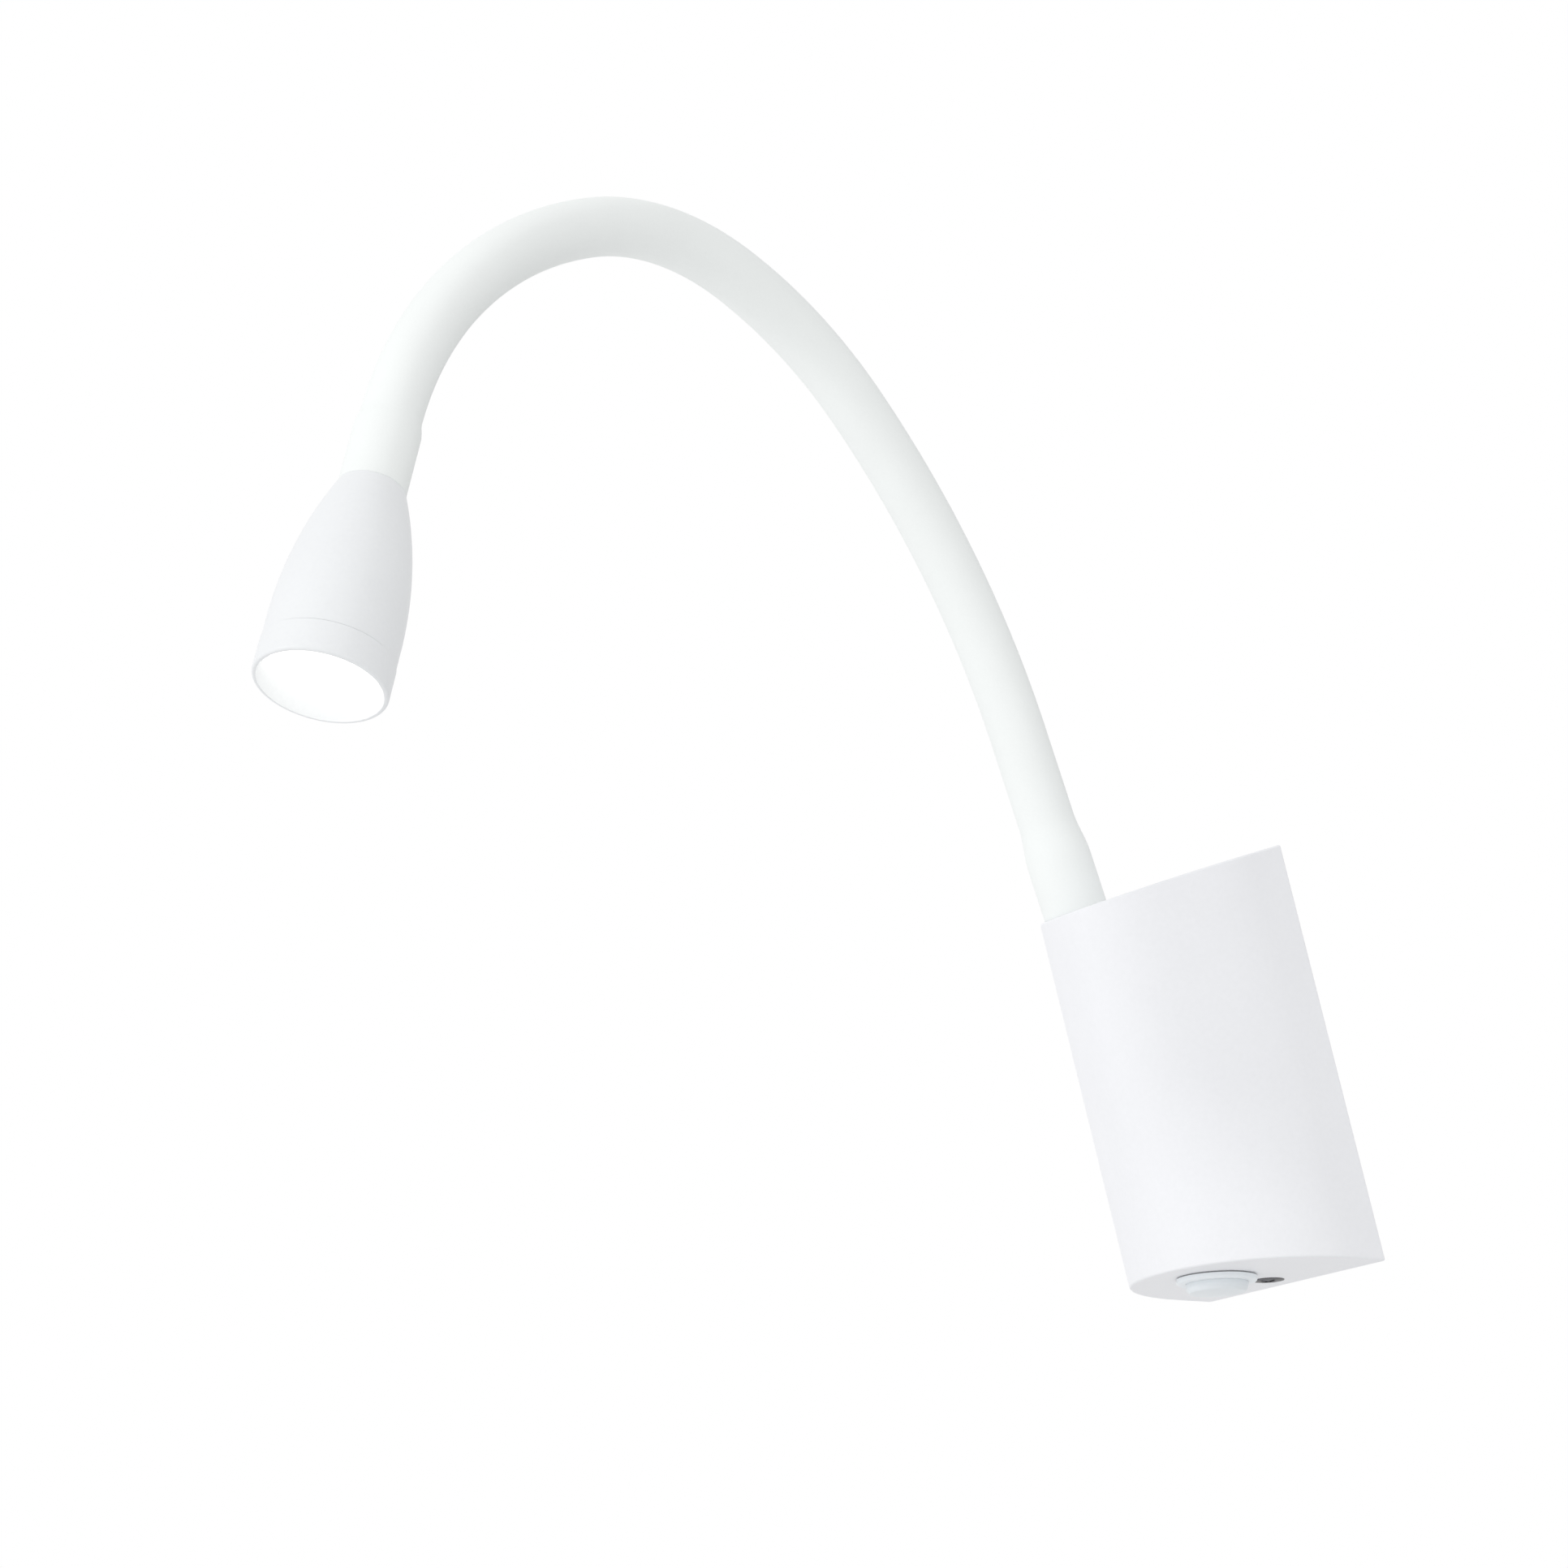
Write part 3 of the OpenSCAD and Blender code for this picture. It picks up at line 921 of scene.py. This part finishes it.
@dataclass
class Dressing:
    """Finish and rounded edges of one solid of the frame."""

    node: str
    finish: Coating
    edge: float = 0.0
    angle: float = 40.0
    segments: int = 3

    def dress(self, book: FinishBook) -> None:
        """Rounds the solid's edges and gives it its finish.

        Args:
            book: keeper of the materials.
        """
        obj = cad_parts[self.node]
        book.apply(obj, self.finish)
        if self.edge:
            weld = obj.modifiers.new("join_corners", "WELD")
            weld.merge_threshold = SAME_SPOT
            flat = obj.modifiers.new("join_flat_faces", "DECIMATE")
            flat.decimate_type = "DISSOLVE"
            flat.angle_limit = math.radians(FLAT_ANGLE)
            bevel = obj.modifiers.new("round_edges", "BEVEL")
            bevel.width = self.edge
            bevel.segments = self.segments
            bevel.limit_method = "ANGLE"
            bevel.angle_limit = math.radians(self.angle)
            bevel.use_clamp_overlap = True
            bevel.harden_normals = True
        LOG.info("%s in %s", self.node, self.finish.name)


class Assembly:
    """Solids of the frame that belong together."""

    def pieces(self) -> List[Dressing]:
        """Lists the solids and their dressings.

        Returns:
            One dressing for each solid.
        """
        raise NotImplementedError

    def dress(self, book: FinishBook) -> None:
        """Dresses the solids in order.

        Args:
            book: keeper of the materials.
        """
        for piece in self.pieces():
            piece.dress(book)


@dataclass
class WallFixing(Assembly):
    """What fixes the housing to the wall, and the pieces inside it."""

    steel: Finish = STEEL
    screw: Finish = SCREW
    brass: Finish = BRASS
    plastic: Finish = PLASTIC
    rubber: Finish = RUBBER

    def pieces(self) -> List[Dressing]:
        """Lists the solids and their dressings.

        Returns:
            One dressing for each solid.
        """
        return [
            Dressing("wall_bracket", self.steel, 0.2 * MM),
            Dressing("cable_grommet", self.rubber),
            Dressing("fixing_screw", self.screw),
            Dressing("earth_screw", self.brass),
            Dressing("terminal_block", self.plastic, 0.25 * MM),
            Dressing("terminal_screws", self.brass),
            Dressing("led_driver", self.plastic, 0.4 * MM),
        ]


@dataclass
class PushSwitch(Assembly):
    """The round push switch in the bottom face."""

    moulding: Finish = MOULDING
    button: Finish = BUTTON
    steel: Finish = STEEL
    brass: Finish = BRASS
    gasket: Finish = GASKET

    def pieces(self) -> List[Dressing]:
        """Lists the solids and their dressings.

        Returns:
            One dressing for each solid.
        """
        return [
            Dressing("switch_body", self.moulding),
            Dressing("switch_gasket", self.gasket),
            Dressing("switch_button", self.button),
            Dressing("switch_nut", self.steel, 0.2 * MM),
            Dressing("switch_terminals", self.brass),
        ]


@dataclass
class ArmInside(Assembly):
    """The steel fitting that holds the arm on the housing, and the arm's core."""

    steel: Finish = STEEL
    core: Finish = CORE

    def pieces(self) -> List[Dressing]:
        """Lists the solids and their dressings.

        Returns:
            One dressing for each solid.
        """
        fitting = ("arm_stem", "arm_washer", "arm_nut")
        cores = [f"core_{index}" for index in range(len(ARM_BODIES))]
        return [Dressing(node, self.steel) for node in fitting] + [
            Dressing(node, self.core) for node in cores
        ]


@dataclass
class Head(Assembly):
    """The turned head with its front ring, lens and light."""

    alloy: Finish
    emitter: Glow
    optic: Glow
    # The head's paint is the white powder coat darkened as painted shade.
    paint: Finish = SHADED_HEAD_PAINT
    steel: Finish = STEEL
    board: Finish = BOARD
    rubber: Finish = RUBBER

    @classmethod
    def on(cls, at: Matrix) -> Head:
        """Makes the finishes that follow the head's axis.

        Args:
            at: frame at the end of the arm, with the head's axis as its Z axis.

        Returns:
            The head.
        """
        axis, centre = tuple(at.col[2][:3]), tuple(at.translation)
        alloy = Finish(
            "machined_aluminium",
            (0.78, 0.79, 0.80),
            0.34,
            Grain.TURNED,
            0.25 * MM,
            0.01 * MM,
            shift=0.06,
            metallic=1.0,
            axis=axis,
            centre=centre,
        )
        emitter = Glow(
            "lit_emitter",
            middle=(1.0, 0.95, 0.8),
            edge=(1.0, 0.8, 0.4),
            strength=2.0,
            centre=centre,
            axis=axis,
            radius=3.0 * MM,
        )
        optic = Glow(
            "lit_lens",
            middle=(1.0, 0.995, 0.96),
            edge=(1.0, 0.98, 0.93),
            strength=1.95,
            centre=centre,
            axis=axis,
            radius=12.0 * MM,
        )
        return cls(alloy, emitter, optic)

    def pieces(self) -> List[Dressing]:
        """Lists the solids and their dressings.

        Returns:
            One dressing for each solid.
        """
        return [
            Dressing("head_shell", self.paint),
            Dressing("head_ring", self.paint),
            Dressing("head_stem", self.steel),
            Dressing("heat_sink", self.alloy),
            Dressing("led_board", self.board),
            Dressing("board_screws", self.steel),
            Dressing("led_emitter", self.emitter),
            Dressing("lens", self.optic),
            Dressing("lens_gasket", self.rubber),
        ]


@dataclass(frozen=True)
class SoftBox:
    """A soft square light: its place, its side and its power."""

    name: str
    at: Point
    size: float
    watts: float
    aim: Point = (0.01, -0.1, 0.05)

    def build(self) -> None:
        """Adds the light and turns it to its aim."""
        data = bpy.data.lights.new(self.name, "AREA")
        data.shape = "SQUARE"
        data.size = self.size
        data.energy = self.watts
        obj = bpy.data.objects.new(self.name, data)
        obj.location = self.at
        facing = Vector(self.aim) - Vector(self.at)
        obj.rotation_euler = facing.to_track_quat("-Z", "Y").to_euler()
        bpy.context.scene.collection.objects.link(obj)


@dataclass
class Studio:
    """Camera, soft lights, white surroundings and a pale floor.

    The surroundings light with ambient strength, by slant more from light_from,
    and by shade less around shade_from, where shade_rise gives the edge.
    """

    camera_at: Point = (0.780760, -0.689537, -0.046143)
    camera_right: Point = (0.55699131, 0.79790131, -0.23046513)
    camera_up: Point = (0.2402628, 0.11082478, 0.96436075)
    focal: float = FOCAL_PIXELS / VIEW_PIXELS * SENSOR
    clip: Tuple[float, float] = (0.01, 50.0)
    light_from: Point = (0.95, 0.0, -0.1)
    ambient: float = 0.92
    slant: float = 0.15
    shade_from: Point = (0.22, 0.88, -0.42)
    shade: float = 0.72
    shade_rise: Tuple[float, float] = (0.4, 0.95)
    floor_z: float = -0.30
    floor_radius: float = 1.2
    floor_rings: int = 12
    floor_sides: int = 96
    floor_tone: float = 0.82
    floor_fade: Tuple[float, float] = (0.5, 1.1)
    lights: Sequence[SoftBox] = (
        SoftBox("key", (-0.17, -3.0, 1.86), 0.34, 15.5),
        SoftBox("fill", (-1.1, -2.0, -0.25), 1.4, 3.6),
    )

    def camera(self) -> None:
        """Sets the camera at the photograph's viewing angle."""
        data = bpy.data.cameras.new("camera")
        data.lens = self.focal
        data.sensor_width = SENSOR
        data.sensor_fit = "HORIZONTAL"
        data.clip_start, data.clip_end = self.clip
        obj = bpy.data.objects.new("camera", data)
        right, up = Vector(self.camera_right), Vector(self.camera_up)
        back = right.cross(up)
        turn = Matrix((right, up, back)).transposed().to_4x4()
        obj.matrix_world = Matrix.Translation(self.camera_at) @ turn
        bpy.context.scene.collection.objects.link(obj)
        bpy.context.scene.camera = obj

    def surroundings(self) -> None:
        """Makes a world that looks white and lights softly, least from behind."""
        world = bpy.data.worlds.new("studio")
        world.use_nodes = True
        bpy.context.scene.world = world
        nodes = Nodes(world.node_tree)
        rays = nodes.add("ShaderNodeLightPath").outputs
        seen = rays["Is Camera Ray"]
        for kind in ("Is Glossy Ray", "Is Transmission Ray"):
            seen = nodes.number("MAXIMUM", seen, rays[kind])
        way = nodes.add("ShaderNodeTexCoord").outputs["Generated"]
        toward = nodes.vector("DOT_PRODUCT", way, self.light_from).outputs["Value"]
        away = nodes.vector("DOT_PRODUCT", way, self.shade_from).outputs["Value"]
        inputs = {
            "Value": away,
            "From Min": self.shade_rise[0],
            "From Max": self.shade_rise[1],
            "To Min": self.ambient,
            "To Max": self.ambient - self.shade,
        }
        base = nodes.add("ShaderNodeMapRange", inputs, interpolation_type="SMOOTHSTEP")
        level = nodes.number(
            "MULTIPLY_ADD", toward, self.slant, base.outputs["Result"]
        )
        soft, white = (
            nodes.add("ShaderNodeBackground", {"Color": WHITE, "Strength": strength})
            for strength in (level, 1.0)
        )
        inputs = {
            "Fac": seen,
            1: soft.outputs["Background"],
            2: white.outputs["Background"],
        }
        mix = nodes.add("ShaderNodeMixShader", inputs)
        nodes.add("ShaderNodeOutputWorld", {"Surface": mix.outputs["Shader"]})

    def floor(self, book: FinishBook) -> None:
        """Lays the pale floor.

        Args:
            book: keeper of the materials.
        """
        rings, sides = self.floor_rings, self.floor_sides
        points: List[Point] = [(0.0, 0.0, self.floor_z)]
        faces: List[Tuple[int, ...]] = []
        for ring in range(1, rings + 1):
            radius = self.floor_radius * ring / rings
            for side in range(sides):
                angle = math.tau * side / sides
                spot = (radius * math.cos(angle), radius * math.sin(angle))
                points.append((*spot, self.floor_z))
        for side in range(sides):
            beside = (side + 1) % sides
            faces.append((0, 1 + side, 1 + beside))
            for ring in range(rings - 1):
                near = 1 + ring * sides
                far = near + sides
                faces.append((near + side, far + side, far + beside, near + beside))
        piece = mesh_piece("floor", points, faces)
        tone = (self.floor_tone, self.floor_tone, self.floor_tone)
        book.apply(piece, FadingFloor("pale_floor", tone, *self.floor_fade))

    def build(self, book: FinishBook) -> None:
        """Builds the studio.

        Args:
            book: keeper of the materials.
        """
        bpy.context.scene.view_settings.view_transform = "Standard"
        self.camera()
        self.surroundings()
        self.floor(book)
        for light in self.lights:
            light.build()
        LOG.info("studio ready")


def main() -> None:
    """Builds and dresses the lamp and its studio."""
    logging.basicConfig(level=logging.INFO, format="%(name)s: %(message)s")
    book = FinishBook()
    path = ArmPath()
    Studio().build(book)
    HousingShell().build(book, PAINT)
    WallFixing().dress(book)
    PushSwitch().dress(book)
    ArmInside().dress(book)
    SleevedArm(path).build(book, SLEEVE)
    Head.on(path.stations[-1]).dress(book)


if __name__ == "__main__":
    main()
